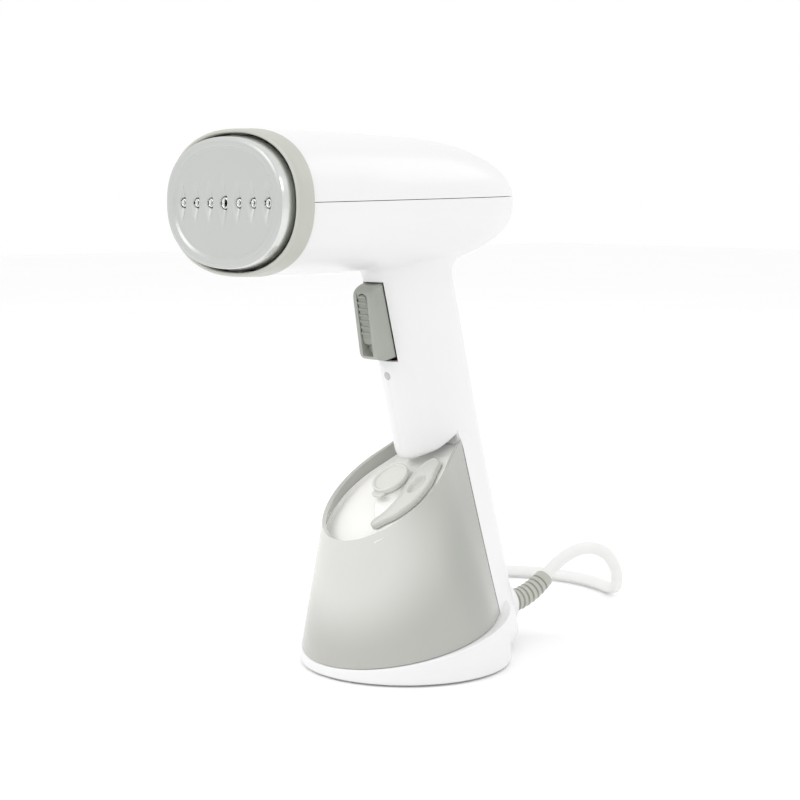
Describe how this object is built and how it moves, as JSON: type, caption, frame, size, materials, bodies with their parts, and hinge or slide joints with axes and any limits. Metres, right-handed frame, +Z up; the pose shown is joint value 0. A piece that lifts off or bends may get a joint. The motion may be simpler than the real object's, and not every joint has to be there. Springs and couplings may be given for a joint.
{
  "type": "garment steamer",
  "caption": "Handheld garment steamer with an oval soleplate, sprung trigger with lock slider, draw-off water tank, ribbed lead outlet and a coiled mains lead with plug.",
  "frame": {"origin": "middle of the rubber pad's resting face, under the round foot", "axes": "+Z up, the soleplate faces -Y, +X to the left hand side of someone facing the soleplate"},
  "size_m": [0.2005, 0.3178, 0.2739],
  "materials": {
    "white_cover": "fine satin moulded ABS",
    "foot_white": "satin moulded ABS",
    "bezel_grey": "satin warm grey",
    "sole_silver": "satin face with polished flank",
    "nozzle_silver": "polished eyelets",
    "silicone_red": "matt silicone",
    "cast_aluminium": "as cast",
    "heater_steel": "heat-tinted tube",
    "ceramic": "matt",
    "bright_steel": "zinc plated",
    "shield_sheet": "bright rolled sheet",
    "trigger_grey": "satin grey-green",
    "slider_grey": "satin, ribbed",
    "switch_black": "matt",
    "switch_red": "matt",
    "board_green": "solder mask",
    "lens_clear": "frosted",
    "pump_brass": "wound coil and brass",
    "pump_rubber": "matt",
    "hose_silicone": "milky silicone",
    "wire_red": "silicone sleeve",
    "tank_smoke": "translucent warm grey",
    "deck_smoke": "gloss warm grey",
    "cap_grey": "gloss with bright rim",
    "seal_grey": "matt",
    "latch_grey": "gloss with bright rim",
    "valve_grey": "satin",
    "boot_grey": "satin ribbed",
    "clamp_white": "matt",
    "lead_white": "satin PVC",
    "tie_black": "hook and loop tape",
    "plug_white": "moulded PVC",
    "blade_brass": "bright"
  },
  "bodies": {
    "body": {"head_top_cover": "white_cover", "body_shell_left": "white_cover", "body_shell_right": "white_cover", "base_foot": "foot_white", "rubber_foot_pad": "seal_grey", "foot_screws": "bright_steel", "body_screws": "bright_steel", "bezel_ring": "bezel_grey", "soleplate": "sole_silver", "steam_nozzles": "nozzle_silver", "soleplate_gasket": "silicone_red", "boiler_block": "cast_aluminium", "boiler_lid": "cast_aluminium", "heating_element": "heater_steel", "thermostat": "ceramic", "thermal_fuse": "bright_steel", "heat_shield": "shield_sheet", "boiler_screws": "bright_steel", "trigger_pin": "bright_steel", "microswitch": "switch_black", "control_board": "board_green", "indicator_lens": "lens_clear", "water_pump": "pump_brass", "pump_mounts": "pump_rubber", "suction_hose": "hose_silicone", "delivery_hose": "hose_silicone", "wiring_loom": "wire_red", "dock_spigot": "valve_grey", "dock_seal": "seal_grey", "strain_relief_boot": "boot_grey", "cord_clamp": "clamp_white", "clamp_screws": "bright_steel", "mains_lead": "lead_white", "lead_coil": "lead_white", "coil_tie": "tie_black", "plug_body": "plug_white", "plug_blades": "blade_brass"},
    "trigger": {"trigger": "trigger_grey", "trigger_spring": "bright_steel"},
    "slider": {"lock_slider": "slider_grey"},
    "plunger": {"switch_plunger": "switch_red"},
    "tank": {"tank_shell": "tank_smoke", "tank_deck": "deck_smoke", "valve_body": "valve_grey", "valve_spring": "bright_steel", "latch_spring": "bright_steel"},
    "cap": {"filler_cap": "cap_grey", "cap_seal": "seal_grey"},
    "latch": {"tank_latch": "latch_grey"},
    "poppet": {"valve_poppet": "seal_grey"}
  },
  "joints": [
    {"name": "trigger_pull", "type": "hinge", "parent": "body", "child": "trigger", "pos_m": [0, -0.01581, 0.1935], "axis": [1, 0, 0], "range_deg": [0, 5], "stiffness_Nm_per_rad": 0.6, "springref_deg": -11.46},
    {"name": "lock_slide", "type": "slide", "parent": "trigger", "child": "slider", "axis": [0, 0.1567, -0.9876], "range_m": [0, 0.005]},
    {"name": "plunger_push", "type": "slide", "parent": "body", "child": "plunger", "axis": [0, 1, 0], "range_m": [0, 0.003]},
    {"name": "tank_draw", "type": "slide", "parent": "body", "child": "tank", "axis": [0, -0.9756, -0.2195], "range_m": [0, 0.1]},
    {"name": "cap_lift", "type": "slide", "parent": "tank", "child": "cap", "axis": [0, -0.5959, 0.8031], "range_m": [0, 0.02]},
    {"name": "latch_pull", "type": "slide", "parent": "tank", "child": "latch", "axis": [0, -0.8031, -0.5959], "range_m": [0, 0.003], "stiffness_N_per_m": 300, "springref_m": -0.002},
    {"name": "poppet_lift", "type": "slide", "parent": "tank", "child": "poppet", "axis": [0, -0.9756, -0.2195], "range_m": [0, 0.002], "stiffness_N_per_m": 200, "springref_m": -0.002}
  ],
  "couplings": [
    {"joint": "plunger_push", "follows": "trigger_pull", "m_per_rad": 0.0285}
  ]
}
